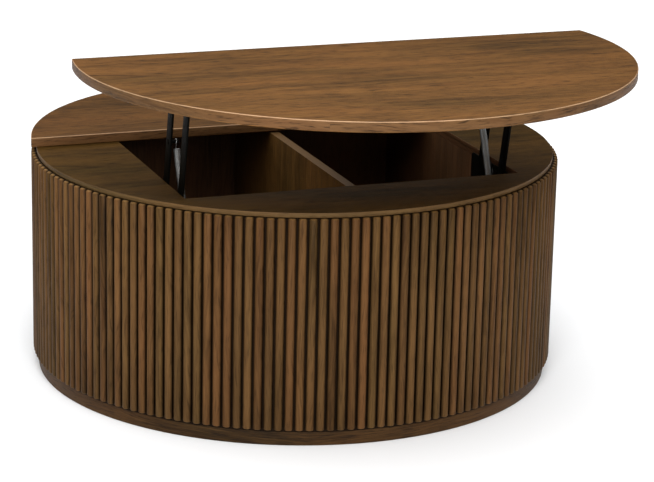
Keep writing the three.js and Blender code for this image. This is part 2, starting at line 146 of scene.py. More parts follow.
def make_floor():
    mesh = bpy.data.meshes.new("floor")
    half = FLOOR_HALF
    corners = [(-half, -half, 0), (half, -half, 0), (half, half, 0), (-half, half, 0)]
    mesh.from_pydata(corners, [], [(0, 1, 2, 3)])
    floor = bpy.data.objects.new("floor", mesh)
    floor.location.z = -FLOOR_DROP
    bpy.context.scene.collection.objects.link(floor)
    material = bpy.data.materials.new("floor")
    material.use_nodes = True
    shader = material.node_tree.nodes["Principled BSDF"]
    shader.inputs["Base Color"].default_value = FLOOR_COLOR
    shader.inputs["Roughness"].default_value = 0.9
    shader.inputs["Specular IOR Level"].default_value = 0.0
    mesh.materials.append(material)


# ---- Materials ------------------------------------------------------------------------------------
class Look:
    """A material whose nodes are added one call at a time. An input is a value or another node's output."""

    def __init__(self, name):
        self.material = bpy.data.materials.new(name)
        self.material.use_nodes = True
        self.tree = self.material.node_tree
        self.shader = self.tree.nodes["Principled BSDF"]

    def node(self, kind, inputs=(), **settings):
        made = self.tree.nodes.new("ShaderNode" + kind)
        for key, value in settings.items():
            setattr(made, key, value)
        for key, value in dict(inputs).items():
            self.put(made.inputs[key], value)
        return made

    def put(self, socket, value):
        if isinstance(value, bpy.types.NodeSocket):
            self.tree.links.new(value, socket)
        else:
            socket.default_value = value

    def set(self, **inputs):
        for key, value in inputs.items():
            self.put(self.shader.inputs[key.replace("_", " ")], value)

    def math(self, operation, a, b=0.0):
        return self.node("Math", {0: a, 1: b}, operation=operation).outputs[0]

    def stretched(self, source, scale, shift=(0, 0, 0)):
        mapping = self.node("Mapping", {"Vector": source, "Scale": scale, "Location": shift})
        return mapping.outputs["Vector"]

    def noise(self, vector, detail=3.0, roughness=0.55):
        inputs = {"Vector": vector, "Scale": 1.0, "Detail": detail, "Roughness": roughness}
        return self.node("TexNoise", inputs).outputs["Fac"]

    def ramp(self, fac, stops):
        made = self.node("ValToRGB", {"Fac": fac})
        elements = made.color_ramp.elements
        while len(elements) < len(stops):
            elements.new(0.5)
        for element, (position, color) in zip(elements, stops):
            element.position = position
            element.color = (*color, 1) if len(color) == 3 else color
        return made.outputs["Color"]

    def mix(self, fac, a, b, blend="MIX"):
        made = self.node("Mix", data_type="RGBA", blend_type=blend)
        self.put(made.inputs["Factor"], fac)
        self.put(made.inputs["A"], a)
        self.put(made.inputs["B"], b)
        return made.outputs["Result"]

    def spread(self, value, low, high):
        return self.node("MapRange", {"Value": value, "To Min": low, "To Max": high}).outputs["Result"]

    def bump(self, height, distance):
        inputs = {"Height": height, "Distance": distance, "Strength": 1.0}
        self.set(Normal=self.node("Bump", inputs).outputs["Normal"])


# Repeats per metre along and across the grain, from the broadest figure to the pores.
DRIFT_SCALE = (1.3, 6.0, 1)
PATCH_SCALE = (2.2, 10.0, 1)
CLOUD_SCALE = (4.0, 55.0, 1)
STREAK_SCALE = (11.0, 230.0, 1)
FIBRE_SCALE = (14.0, 700.0, 1)
DASH_SCALE = (26.0, 470.0, 1)
PORE_SCALE = (60.0, 1500.0, 1)
# Shifts that keep figures of near the same scale from repeating each other.
PATCH_SHIFT = (4.7, 2.9, 0)
CLOUD_SHIFT = (3.1, 1.7, 0)
DASH_SHIFT = (1.3, 7.1, 0)
GRAIN_BEND = 0.10
RED_SHIFT = (1.12, 0.90, 0.92)
FIGURE_STOPS = (0.41, 0.54, 0.66)
PIT_STOPS = (0.455, 0.535)
WOOD_ROUGHNESS = (0.42, 0.6)
WOOD_RELIEF = 0.0002
# Painted shade: the reeds darken towards their feet, where the grooves fall into shadow.
GROOVE_PAINTED_SHADE = (0.07, 0.07, 0.07)
GROOVE_SHADE_STOPS = (0.34, 0.84)
# Painted highlight: the reeds' rounded ends are lightened as if they caught the overhead light.
CAP_HIGHLIGHT_STRENGTH = 1.6
BLACK = (0, 0, 0)
WHITE = (1, 1, 1)


def scaled(color, factor):
    return tuple(channel * factor for channel in color)


def opaque(color):
    return (*color, 1)


def wood(name, dark, light, figure=0.5, pores=0.35, tint=0.0, specular=0.1):
    """Stained open-grain veneer. The grain runs along u of the "grain" UV map, which is in metres."""
    look = Look(name)
    uv = look.node("UVMap", uv_map="grain").outputs["UV"]
    drift = look.noise(look.stretched(uv, DRIFT_SCALE), detail=3.0)
    lift = look.node("CombineXYZ", {"Y": look.math("MULTIPLY", drift, GRAIN_BEND)}).outputs[0]
    bent = look.node("VectorMath", {0: uv, 1: lift}, operation="ADD").outputs["Vector"]
    patch = look.noise(look.stretched(bent, PATCH_SCALE, PATCH_SHIFT), detail=3.0)
    cloud = look.noise(look.stretched(bent, CLOUD_SCALE, CLOUD_SHIFT), detail=4.0, roughness=0.6)
    streak = look.noise(look.stretched(bent, STREAK_SCALE), detail=4.0, roughness=0.65)
    fibre = look.noise(look.stretched(bent, FIBRE_SCALE), detail=3.0, roughness=0.6)
    body = look.math("MULTIPLY", patch, 0.20)
    for part, share in ((cloud, 0.20 + 0.12 * figure), (streak, 0.46 - 0.12 * figure), (fibre, 0.14)):
        body = look.math("ADD", body, look.math("MULTIPLY", part, share))
    middle_tone = tuple((low * 0.9 + high * 1.1) / 2 for low, high in zip(dark, light))
    base = look.ramp(body, list(zip(FIGURE_STOPS, (dark, middle_tone, light))))
    red = tuple(high * factor for high, factor in zip(light, RED_SHIFT))
    base = look.mix(look.spread(patch, -0.45, 1.05), base, opaque(red))
    dash = look.noise(look.stretched(bent, DASH_SCALE, DASH_SHIFT), detail=2.0, roughness=0.5)
    pore = look.noise(look.stretched(bent, PORE_SCALE), detail=2.0, roughness=0.4)
    pit = look.math("ADD", look.math("MULTIPLY", dash, 0.62), look.math("MULTIPLY", pore, 0.38))
    pit = look.math("SUBTRACT", pit, look.math("MULTIPLY", cloud, 0.15))
    pit = look.ramp(pit, list(zip(PIT_STOPS, (BLACK, WHITE))))
    pit_value = look.node("RGBToBW", {"Color": pit}).outputs["Val"]
    color = look.mix(look.math("MULTIPLY", pit_value, pores), base, opaque(scaled(dark, 0.3)))
    if tint:
        color = reed_color(look, color, light, tint)
    look.set(Base_Color=color, Roughness=look.spread(fibre, *WOOD_ROUGHNESS), Specular_IOR_Level=specular)
    raised = look.math("MULTIPLY", fibre, 0.35)
    look.bump(look.math("SUBTRACT", raised, look.math("MULTIPLY", pit_value, 0.8)), WOOD_RELIEF)
    return look.material


def reed_color(look, color, light, tint):
    """Gives each reed its own tone and hue, darkens the grooves with painted shade, and lightens the rounded
    ends with a painted highlight.
    """
    tone = look.node("Attribute", attribute_name="tone").outputs["Fac"]
    warmth = look.node("Attribute", attribute_name="warmth").outputs["Fac"]
    shade = look.spread(tone, 1 - tint, 1 + tint)
    grey = look.node("CombineColor", {"Red": shade, "Green": shade, "Blue": shade}).outputs[0]
    color = look.mix(1.0, color, grey, "MULTIPLY")
    hue = look.ramp(warmth, [(0.0, (0.98, 1.01, 0.96)), (0.5, WHITE), (1.0, (1.08, 0.97, 0.97))])
    color = look.mix(1.0, color, hue, "MULTIPLY")
    crest = look.node("Attribute", attribute_name="crest").outputs["Fac"]
    # Painted shade: darker towards each reed's foot, in the grooves.
    groove_shade = look.ramp(crest, list(zip(GROOVE_SHADE_STOPS, (GROOVE_PAINTED_SHADE, WHITE))))
    color = look.mix(1.0, color, groove_shade, "MULTIPLY")
    # Painted highlight: the rounded ends of each reed, lighter towards their crest.
    cap_light = look.node("Attribute", attribute_name="cap_light").outputs["Fac"]
    painted_cap_highlight = look.math("MULTIPLY", look.math("MULTIPLY", cap_light, crest), CAP_HIGHLIGHT_STRENGTH)
    return look.mix(painted_cap_highlight, color, opaque(scaled(light, 2.4)))


METAL_GRAIN = (900, 900, 900)
SMUDGES = (60, 60, 60)
METAL_RELIEF = 0.00003


def metal(name, color, roughness, metallic=1.0, relief=METAL_RELIEF, specular=0.5):
    """Steel, paint or rubber: a fine grain in the roughness, and darker smudges."""
    look = Look(name)
    place = look.node("TexCoord").outputs["Object"]
    grain = look.noise(look.stretched(place, METAL_GRAIN), detail=2.0)
    smudge = look.noise(look.stretched(place, SMUDGES), detail=3.0)
    look.set(
        Base_Color=look.mix(look.math("MULTIPLY", smudge, 0.6), opaque(color), opaque(scaled(color, 0.7))),
        Metallic=metallic,
        Specular_IOR_Level=specular,
        Roughness=look.spread(grain, roughness * 0.75, roughness * 1.25),
    )
    look.bump(grain, relief)
    return look.material


# Each wood: its material's name, its darkest and lightest colour, and what differs from the defaults.
WOODS = {
    # The fixed top: a darker copy of the top's wood, painted shade as if cast by the raised lift top.
    "fixed": (
        "fixed_top_shaded_wood",
        (0.034, 0.0145, 0.0028),
        (0.144, 0.071, 0.0175),
        dict(figure=0.6, pores=0.75),
    ),
    "top": ("top_wood", (0.043, 0.018, 0.0032), (0.176, 0.088, 0.021), dict(figure=0.6, pores=0.75)),
    "edge": ("edge_band", (0.048, 0.023, 0.007), (0.150, 0.082, 0.032), dict(figure=0.3, pores=0.7)),
    # A painted highlight: a light line along the rounded upper edges of the tops.
    "edge_highlight": ("edge_painted_highlight", (0.16, 0.10, 0.048), (0.46, 0.32, 0.185), dict(figure=0.3)),
    "deck": (
        "deck_wood",
        (0.018, 0.0094, 0.0018),
        (0.077, 0.044, 0.0096),
        dict(pores=0.65, specular=0.04),
    ),
    # A painted highlight: a light line along the deck's rounded upper edge.
    "deck_highlight": ("deck_edge_painted_highlight", (0.065, 0.036, 0.014), (0.13, 0.078, 0.034), dict(figure=0.1, pores=0.15)),
    "deck_rim": ("rim_wood", (0.060, 0.035, 0.012), (0.140, 0.087, 0.031), dict(figure=0.2)),
    "flute": (
        "flute_wood",
        (0.032, 0.0165, 0.0048),
        (0.126, 0.072, 0.025),
        dict(figure=0.2, pores=0.4, tint=0.15, specular=0.06),
    ),
    # The groove look is near black: painted shade for the grooves and under the reeds.
    "groove": ("groove_painted_shade", (0.006, 0.003, 0.001), (0.012, 0.006, 0.002), dict(figure=0.1, specular=0.05)),
    "base": ("base_wood", (0.017, 0.0082, 0.0022), (0.090, 0.047, 0.0145), dict(pores=0.7)),
    "box": ("box_wood", (0.040, 0.019, 0.008), (0.098, 0.050, 0.0215), {}),
    "divider": ("divider_wood", (0.050, 0.025, 0.0065), (0.150, 0.080, 0.021), dict(figure=0.4, pores=0.6)),
    "divider_edge": ("divider_band", (0.070, 0.038, 0.014), (0.13, 0.078, 0.030), dict(figure=0.2)),
}


def make_materials():
    made = {key: wood(name, dark, light, **more) for key, (name, dark, light, more) in WOODS.items()}
    made["black"] = metal("black_steel", (0.0035, 0.0032, 0.0024), 0.5, metallic=0.0, specular=0.03)
    made["zinc"] = metal("zinc_steel", (0.40, 0.40, 0.41), 0.34)
    made["spring"] = metal("spring_steel", (0.42, 0.43, 0.43), 0.3)
    made["rubber"] = metal("rubber", (0.012, 0.012, 0.012), 0.8, metallic=0.0, relief=0.0001)
    return made


# ---- Mesh tools -----------------------------------------------------------------------------------
def finish_piece(name, bm, looks, body, nodes, slot, angle=35):
    """Turns a bmesh into a piece that rides on a body, and stands for CAD nodes."""
    bmesh.ops.recalc_face_normals(bm, faces=bm.faces)
    mesh = bpy.data.meshes.new(name)
    bm.to_mesh(mesh)
    bm.free()
    for look in looks:
        mesh.materials.append(look)
    mesh.set_sharp_from_angle(angle=math.radians(angle))
    piece = bpy.data.objects.new(name, mesh)
    bpy.context.scene.collection.objects.link(piece)
    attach(piece, body)
    if nodes:
        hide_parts(*nodes)
    return piece


def prism(outline, low, high, holes=()):
    """A closed plate between two heights, from an outline and its holes, as loops of (x, y)."""
    loops = [list(outline)] + [list(hole) for hole in holes]
    flat = [[Vector((x, y, 0)) for x, y in loop] for loop in loops]
    triangles = tessellate_polygon(flat)
    points = [point for loop in loops for point in loop]
    bm = bmesh.new()
    below = [bm.verts.new((x, y, low)) for x, y in points]
    above = [bm.verts.new((x, y, high)) for x, y in points]
    if holes:
        for triangle in triangles:
            bm.faces.new([above[i] for i in triangle])
            bm.faces.new([below[i] for i in reversed(triangle)])
    else:
        bm.faces.new(above)
        bm.faces.new(list(reversed(below)))
    start = 0
    for loop in loops:
        count = len(loop)
        for i in range(count):
            a, b = start + i, start + (i + 1) % count
            side = bm.faces.new((below[a], below[b], above[b], above[a]))
            side.smooth = True
        start += count
    bmesh.ops.recalc_face_normals(bm, faces=bm.faces)
    return bm


def is_cap(face):
    return abs(face.normal.z) > 0.999


def round_edges(bm, width, segments=2, material=None, only_high=False):
    """Rounds the edges between the flat caps and the sides."""
    rim = []
    for edge in bm.edges:
        kinds = [is_cap(face) for face in edge.link_faces]
        if len(kinds) == 2 and kinds[0] != kinds[1]:
            rim.append(edge)
    made = bmesh.ops.bevel(
        bm, geom=rim, offset=width, segments=segments, affect="EDGES", profile=0.5, clamp_overlap=True
    )
    middle_z = sum(v.co.z for v in bm.verts) / len(bm.verts)
    for face in made["faces"]:
        face.smooth = True
        if material is not None and (not only_high or face.calc_center_median().z > middle_z):
            face.material_index = material
    return bm


def map_grain(bm, mapper):
    layer = bm.loops.layers.uv.new("grain")
    for face in bm.faces:
        for loop in face.loops:
            loop[layer].uv = mapper(face, loop.vert.co)


def arc(radius, start, end, steps, centre=(0, 0)):
    points = []
    for i in range(steps + 1):
        angle = start + (end - start) * i / steps
        points.append((centre[0] + radius * math.cos(angle), centre[1] + radius * math.sin(angle)))
    return points


def circle(x, y, radius, steps=24):
    return arc(radius, 0, 2 * math.pi, steps, (x, y))[:-1]


def turned(profile, steps=160):
    """A solid of revolution about Z from a closed loop of (radius, z), or one that ends on the axis."""
    bm = bmesh.new()
    on_axis = profile[0][0] == 0
    rings = []
    for radius, z in profile:
        if radius == 0:
            rings.append([bm.verts.new((0, 0, z))] * steps)
        else:
            turn = [2 * math.pi * i / steps for i in range(steps)]
            rings.append([bm.verts.new((radius * math.cos(a), radius * math.sin(a), z)) for a in turn])
    pairs = list(zip(rings, rings[1:]))
    if not on_axis:
        pairs.append((rings[-1], rings[0]))
    for low, high in pairs:
        for i in range(steps):
            j = (i + 1) % steps
            corners = list(dict.fromkeys((low[i], low[j], high[j], high[i])))
            if len(corners) > 2:
                bm.faces.new(corners).smooth = True
    return bm


def rounded(profile, width):
    """The profile with each corner off the axis cut into a small arc."""
    done = []
    count = len(profile)
    for i, (radius, z) in enumerate(profile):
        if radius == 0:
            done.append((radius, z))
            continue
        here = Vector((radius, z))
        before = Vector(profile[i - 1]) - here
        after = Vector(profile[(i + 1) % count]) - here
        reach = min(width, before.length / 2, after.length / 2)
        a = here + before.normalized() * reach
        b = here + after.normalized() * reach
        middle = (a + b) / 2 * 0.42 + here * 0.58
        done += [tuple(a), tuple(middle), tuple(b)]
    return done


def radial_grain(face, co):
    """Grain along X on the flat faces, and round the rim on the upright ones."""
    if abs(face.normal.z) > 0.9:
        return co.x, co.y
    return math.atan2(co.y, co.x) * co.xy.length, co.z


# ---- Drum -----------------------------------------------------------------------------------------
base_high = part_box("base_board")[1]
deck_low, deck_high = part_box("deck_panel")
rim = base_high.x
table_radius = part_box("lift_top")[1].x
flute_low, flute_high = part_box("fluted_panel_front")
box_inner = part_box("wall_right")[0].x
ROUND_STEPS = 160
BASE_SOFT = 1.5 * MM
DECK_SOFT = 1.3 * MM
SEAM = 0.3 * MM  # left between pieces that are glued in the real table
SHELL_THICK = 5.7 * MM
FLUTES = 168
REED_HALF = 8.1 * MM
REED_BASE = table_radius - 8.6 * MM
REED_OUT = table_radius - REED_BASE
REED_FULLNESS = 0.88
REED_STEPS = 8
REED_LIFT = 3.5 * MM  # the reeds stop this far above the foot of their backing, whose near-black painted shade shows beneath them as a shadow line
REED_SOFT = 2.4 * MM  # length of a reed's rounded end
REED_ENDS = ((0.0, 0.62), (0.25, 0.84), (1.0, 1.0))  # share of that length, and the section's size there
SKIN_BACK = table_radius - 12.8 * MM
BACK_PROUD = 0.2 * MM  # the backing reaches this far into the reeds' feet


def make_base_board(looks):
    profile = [(0, 0), (rim, 0), (rim, base_high.z), (0, base_high.z)]
    bm = turned(rounded(profile, BASE_SOFT))
    map_grain(bm, radial_grain)
    finish_piece("base_board_round", bm, [looks["base"]], "base", ["base_board"], "deck_wood")


def make_deck(looks):
    """The dark deck: a thin rim over the flutes, a rebate inside the shell, and the square opening."""
    lip = flute_high.z + SEAM
    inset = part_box("inner_shell")[1].x - SHELL_THICK - SEAM
    half = box_inner
    opening = [(-half, -half), (half, -half), (half, half), (-half, half)]
    past_corners = half * 1.45
    bm = prism(circle(0, 0, rim, ROUND_STEPS), lip, deck_high.z, [opening])
    for face in bm.faces:
        upright = abs(face.normal.z) < 0.5
        outside = face.calc_center_median().xy.length > past_corners
        face.material_index = (1 if outside else 3) if upright else 0
    # The rounded upper edge takes the deck's painted highlight line.
    round_edges(bm, DECK_SOFT, material=2, only_high=True)
    map_grain(bm, radial_grain)
    stack = [looks["deck"], looks["deck_rim"], looks["deck_highlight"], looks["box"]]
    finish_piece("deck_rim_board", bm, stack, "base", ["deck_panel"], "deck_wood")
    lower = prism(circle(0, 0, inset, ROUND_STEPS), deck_low.z, lip - 0.1 * MM, [opening])
    map_grain(lower, radial_grain)
    finish_piece("deck_underboard", lower, [looks["box"]], "base", [], "deck_wood")


def reed_profile():
    """Half of an ellipse with full shoulders, as (across, out) in metres from the reed's foot."""
    points = []
    for i in range(REED_STEPS + 1):
        angle = math.pi * i / REED_STEPS
        across = REED_HALF * math.cos(angle)
        out = REED_OUT * math.sin(angle) ** REED_FULLNESS
        points.append((across, out))
    return points


def add_reed(bm, angle, tone, warmth, layers):
    tone_layer, warmth_layer, crest_layer, cap_light_layer, uv_layer = layers
    outward = Vector((math.cos(angle), math.sin(angle), 0))
    along = Vector((-math.sin(angle), math.cos(angle), 0))
    profile = reed_profile()
    foot_z = flute_low.z + REED_LIFT
    stations = [(foot_z + share * REED_SOFT, size) for share, size in REED_ENDS]
    stations += [(flute_high.z - share * REED_SOFT, size) for share, size in reversed(REED_ENDS)]
    rings = []
    for z, size in stations:
        ring = []
        for across, out in profile:
            place = outward * (REED_BASE + out * size) + along * (across * size)
            vert = bm.verts.new((place.x, place.y, z))
            vert[crest_layer] = out / REED_OUT
            # Marks the rounded ends for the painted highlight.
            vert[cap_light_layer] = 1 - size
            ring.append(vert)
        rings.append(ring)
    start = random.uniform(0, 9)
    shift = random.uniform(0, 9)
    faces = []
    for low, high in zip(rings, rings[1:]):
        for i in range(len(profile)):
            j = (i + 1) % len(profile)
            face = bm.faces.new((low[i], low[j], high[j], high[i]))
            face.smooth = i + 1 < len(profile)
            faces.append(face)
    faces.append(bm.faces.new(rings[-1]))
    faces.append(bm.faces.new(list(reversed(rings[0]))))
    for face in faces:
        face[tone_layer] = tone
        face[warmth_layer] = warmth
        for loop in face.loops:
            across = (loop.vert.co.xy - outward.xy * REED_BASE).dot(along.xy)
            depth = loop.vert.co.xy.length
            loop[uv_layer].uv = (loop.vert.co.z + start, across + depth * 0.5 + shift)


def make_flutes(looks):
    """Half-round reeds side by side on a thin near-black backing, which is painted shade for the grooves, in
    four curved panels.
    """
    pitch = 2 * math.pi / FLUTES
    names = ["fluted_panel_right", "fluted_panel_back", "fluted_panel_left", "fluted_panel_front"]
    for quarter, node in enumerate(names):
        start = -math.pi / 4 + quarter * math.pi / 2
        bm = bmesh.new()
        layers = (
            bm.faces.layers.float.new("tone"),
            bm.faces.layers.float.new("warmth"),
            bm.verts.layers.float.new("crest"),
            bm.verts.layers.float.new("cap_light"),
            bm.loops.layers.uv.new("grain"),
        )
        for i in range(FLUTES // len(names)):
            add_reed(bm, start + (i + 0.5) * pitch, random.random(), random.random(), layers)
        finish_piece(node + "_reeds", bm, [looks["flute"]], "base", [node], "flute_wood", angle=50)
        edge = SEAM / 2 / SKIN_BACK
        first, last = start + edge, start + math.pi / 2 - edge
        outer = arc(REED_BASE + BACK_PROUD, first, last, 48)
        inner = arc(SKIN_BACK, last, first, 48)
        back = prism(outer + inner, flute_low.z, flute_high.z - 1 * MM)
        map_grain(back, radial_grain)
        # The backing's near-black colour is painted shade, the shadow in the grooves and under the reeds.
        finish_piece(node + "_backing", back, [looks["groove"]], "base", [], "flute_wood")


def board(name, node, low, high, looks, along, width=0.8 * MM):
    """A straight board between two corners, with soft edges. Grain runs along one axis."""
    outline = [(low.x, low.y), (high.x, low.y), (high.x, high.y), (low.x, high.y)]
    bm = prism(outline, low.z, high.z)
    bmesh.ops.bevel(bm, geom=bm.edges[:], offset=width, segments=2, affect="EDGES", profile=0.5)

    def mapper(face, co):
        across = [axis for axis in range(3) if axis != along]
        normal = [abs(c) for c in face.normal]
        across.sort(key=lambda axis: normal[axis])
        return co[along], co[across[0]]

    map_grain(bm, mapper)
    return finish_piece(name, bm, looks, "base", [node], "box_wood")


def make_storage(looks):
    for side in ("left", "right", "front", "back"):
        low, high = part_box("wall_" + side)
        board(f"{side}_wall_board", "wall_" + side, low, high, [looks["box"]], 2)
    low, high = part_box("storage_floor")
    board("storage_floor_board", "storage_floor", low, high, [looks["box"]], 0)
    low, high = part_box("divider")
    stack = [looks["divider"], looks["divider_edge"]]
    divider = board("divider_board", "divider", low, high, stack, 2, 1.0 * MM)
    for polygon in divider.data.polygons:
        if polygon.center.z > high.z - 2 * MM:
            polygon.material_index = 1
    low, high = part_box("inner_shell")
    inside = high.x - SHELL_THICK
    shell = turned([(inside, low.z), (high.x, low.z), (high.x, high.z), (inside, high.z)], 128)
    map_grain(shell, radial_grain)
    finish_piece("inner_shell_ply", shell, [looks["box"]], "base", ["inner_shell"], "box_wood")


# ---- The two tops ---------------------------------------------------------------------------------
TOP_SOFT = 1.3 * MM
TOP_STEPS = 150


def segment_outline(split, is_back, centre_y=0.0):
    """Part of the table's round behind, or in front of, a straight edge."""
    edge = math.asin(split / table_radius)
    if is_back:
        return arc(table_radius, edge, math.pi - edge, TOP_STEPS, (0, centre_y))
    return arc(table_radius, -math.pi - edge, edge, TOP_STEPS, (0, centre_y))


def make_top(name, node, outline, low, high, centre_y, looks, body, face_look="top"):
    bm = prism(outline, low, high)
    for face in bm.faces:
        face.material_index = 0 if is_cap(face) else 1
    # The rounded upper edges take the third look, a painted highlight line.
    round_edges(bm, TOP_SOFT, segments=3, material=2, only_high=True)
    centre = Vector((0, centre_y, 0))

    def mapper(face, co):
        if abs(face.normal.z) > 0.9:
            return co.x, co.y - centre_y
        if abs(face.normal.y) > 0.9 and abs(co.x) < table_radius * 0.98 and face.material_index == 1:
            return co.x, co.z
        flat = co - centre
        return math.atan2(flat.y, flat.x) * table_radius, co.z

    map_grain(bm, mapper)
    stack = [looks[face_look], looks["edge"], looks["edge_highlight"]]
    return finish_piece(name, bm, stack, body, [node], "top_wood")


def make_tops(looks):
    low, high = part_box("fixed_top")
    outline = segment_outline(low.y, True)
    # The fixed top takes the darker copy of the top's wood, as painted shade.
    make_top("fixed_top_board", "fixed_top", outline, low.z, high.z, 0.0, looks, "base", "fixed")
    low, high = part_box("lift_top")
    centre_y = low.y + table_radius
    outline = segment_outline(high.y - centre_y, False, centre_y)
    make_top("lift_top_board", "lift_top", outline, low.z, high.z, centre_y, looks, "lift_top")


# ---- Lift mechanism -------------------------------------------------------------------------------
# Drawn for the right-hand side, and mirrored for the left. Places are (y, z), and stretches run outwards.
front_pivot = Vector(joints["front_arm_right_swing"]["pos_m"]).yz
rear_pivot = Vector(joints["rear_arm_right_swing"]["pos_m"]).yz
front_top = Vector(joints["top_level"]["pos_m"]).yz
rear_top = rear_pivot + front_top - front_pivot
ARMS = (("front", front_pivot, front_top), ("rear", rear_pivot, rear_top))
spring_post = Vector(joints["spring_right_swing"]["pos_m"]).yz
spring_x = joints["spring_right_swing"]["pos_m"][0]
arm_x = (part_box("front_arm_right")[0].x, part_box("front_arm_right")[1].x)
plate_x = (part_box("base_bracket_right")[0].x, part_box("base_bracket_right")[1].x)
ear_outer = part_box("top_bracket_right")[1].x
SHEET = 3.0 * MM
ARM_HALF = 12.5 * MM
EAR_RADIUS = 12.0 * MM
GAP = 0.3 * MM
PIN = 4.0 * MM
PIN_SOFT = 0.45 * MM
STUD = 3.0 * MM
HEAD = (7.0 * MM, 2.5 * MM)
COLLAR = (5.0 * MM, 1.2 * MM)
PLATE_CORNER = 9.0 * MM
BEND = 2.0 * MM  # radius of the fold between a top bracket's ear and its flange
SLEEVE = 5.5 * MM
WIRE = 1.0 * MM
WIRE_SIDES = 8
COIL = 5.75 * MM
COIL_PITCH = 2.06 * WIRE
COIL_STEPS = 18
HOOK_REACH = 13.0 * MM
HOOK_SWEEP = 235  # degrees of each hook round its stud
HOOK_STEPS = 12
EYE_SEAT = 3.0 * MM  # from the spring's middle plane to the flange at the end of its stud
EYE_FLANGE = (4.4 * MM, 1.5 * MM)
SCREW_HEAD = (4.5 * MM, 2.2 * MM)
SCREW_SHANK = 2.0 * MM
SCREW_ROOT = 0.78  # the thread's root, as a share of its radius
THREAD_PITCH = 1.4 * MM
RECESS = (2.6 * MM, 0.55 * MM)


def middle(node):
    low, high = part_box(node)
    return ((low + high) / 2).yz


def sideways(side, at=(0, 0)):
    """Turns what stands on the XY plane so that it lies on YZ, out along this side's X."""
    return Matrix(((0, 0, side, 0), (1, 0, 0, at[0]), (0, 1, 0, at[1]), (0, 0, 0, 1)))


def upright_plate(name, outline, x_range, side, look, body, nodes, slot, width=0.7 * MM):
    bm = prism(outline, *x_range)
    round_edges(bm, width, segments=2)
    bm.transform(sideways(side))
    return finish_piece(name, bm, [look], body, nodes, slot)


def stick(a, b, radius):
    """The outline of a bar with round ends about a and b."""
    lean = math.atan2(b[1] - a[1], b[0] - a[0])
    quarter = math.pi / 2
    near = arc(radius, lean + quarter, lean + 3 * quarter, 16, a)
    return near + arc(radius, lean - quarter, lean + quarter, 16, b)


def turned_pin(name, stretches, at, side, look, body, node, slot):
    """A round pin of stretches (start, end, radius) along X."""
    profile = [(0, stretches[0][0])]
    for start, end, radius in stretches:
        profile += [(radius, start), (radius, end)]
    profile.append((0, stretches[-1][1]))
    bm = turned(rounded(profile, PIN_SOFT), 32)
    bm.transform(sideways(side, at))
    return finish_piece(name, bm, [look], body, [node], slot, angle=50)


def turned_ring(name, inner, outer, x_range, at, side, look, body, node, slot):
    profile = [(inner, x_range[0]), (outer, x_range[0]), (outer, x_range[1]), (inner, x_range[1])]
    bm = turned(rounded(profile, 0.6 * MM), 32)
    bm.transform(sideways(side, at))
    return finish_piece(name, bm, [look], body, [node], slot, angle=50)


def cross(size, width):
    """The outline of a driver's cross recess."""
    points = []
    for turn in range(4):
        angle = turn * math.pi / 2
        cos, sin = math.cos(angle), math.sin(angle)
        for x, y in ((size, -width), (size, width), (width, width)):
            points.append((x * cos - y * sin, x * sin + y * cos))
    return points


def make_screw(name, node, length, pose, look, body):
    """A pan-head screw up +Z from its seat at z = 0, with a cross recess and a turned thread."""
    head_radius, head = SCREW_HEAD
    bm = prism(circle(0, 0, head_radius, 28), -head, 0, [cross(*RECESS)])
    outer = []
    for edge in bm.edges:
        at_top = all(abs(v.co.z + head) < 1e-6 for v in edge.verts)
        if at_top and all(v.co.xy.length > head_radius * 0.98 for v in edge.verts):
            outer.append(edge)
    bmesh.ops.bevel(bm, geom=outer, offset=1.3 * MM, segments=4, affect="EDGES", profile=0.5)
    floor = prism(circle(0, 0, 3.2 * MM, 20), -head * 0.4, -head * 0.15)
    profile = [(0, 0)]
    root = SCREW_SHANK * SCREW_ROOT
    turns = int((length - 2 * SCREW_SHANK) / THREAD_PITCH)
    for turn in range(turns):
        start = turn * THREAD_PITCH
        profile += [(root, start + THREAD_PITCH * 0.1), (SCREW_SHANK, start + THREAD_PITCH * 0.55)]
    profile += [(root, turns * THREAD_PITCH), (0, length)]
    thread = turned(profile, 16)
    for other in (floor, thread):
        mesh = bpy.data.meshes.new("part")
        other.to_mesh(mesh)
        other.free()
        bm.from_mesh(mesh)
        bpy.data.meshes.remove(mesh)
    bm.transform(pose)
    finish_piece(name, bm, [look], body, [node], "zinc_steel")


def make_screws(looks):
    for node in frame["nodes"]:
        if "_screw_" not in node:
            continue
        low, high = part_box(node)
        centre = (low + high) / 2
        body = "lift_top" if node.startswith("top_screw") else "base"
        head = SCREW_HEAD[1]
        spin = Matrix.Rotation(random.uniform(0, math.pi), 4, "Z")
        if node.startswith("bracket_screw"):
            side = 1 if centre.x > 0 else -1
            seat = low.x + head if side > 0 else high.x - head
            pose = Matrix.Translation((seat, 0, 0)) @ sideways(side, centre.yz) @ spin
            length = high.x - low.x - head
        else:
            pose = Matrix.Translation((centre.x, centre.y, low.z + head)) @ spin
            length = high.z - low.z - head
        make_screw(node + "_turned", node, length, pose, looks["zinc"], body)


def sweep(path, radius):
    """A round wire along a list of points, with its ends closed. Returns a bmesh."""
    bm = bmesh.new()
    across = None
    rings = []
    for i, point in enumerate(path):
        ahead = (path[min(i + 1, len(path) - 1)] - path[max(i - 1, 0)]).normalized()
        if across is None:
            across = ahead.orthogonal().normalized()
        across = (across - ahead * across.dot(ahead)).normalized()
        up = ahead.cross(across)
        ring = []
        for k in range(WIRE_SIDES):
            angle = 2 * math.pi * k / WIRE_SIDES
            ring.append(bm.verts.new(point + radius * (math.cos(angle) * across + math.sin(angle) * up)))
        rings.append(ring)
    for low, high in zip(rings, rings[1:]):
        for k in range(WIRE_SIDES):
            j = (k + 1) % WIRE_SIDES
            bm.faces.new((low[k], low[j], high[j], high[k])).smooth = True
    bm.faces.new(list(reversed(rings[0])))
    bm.faces.new(rings[-1])
    return bm


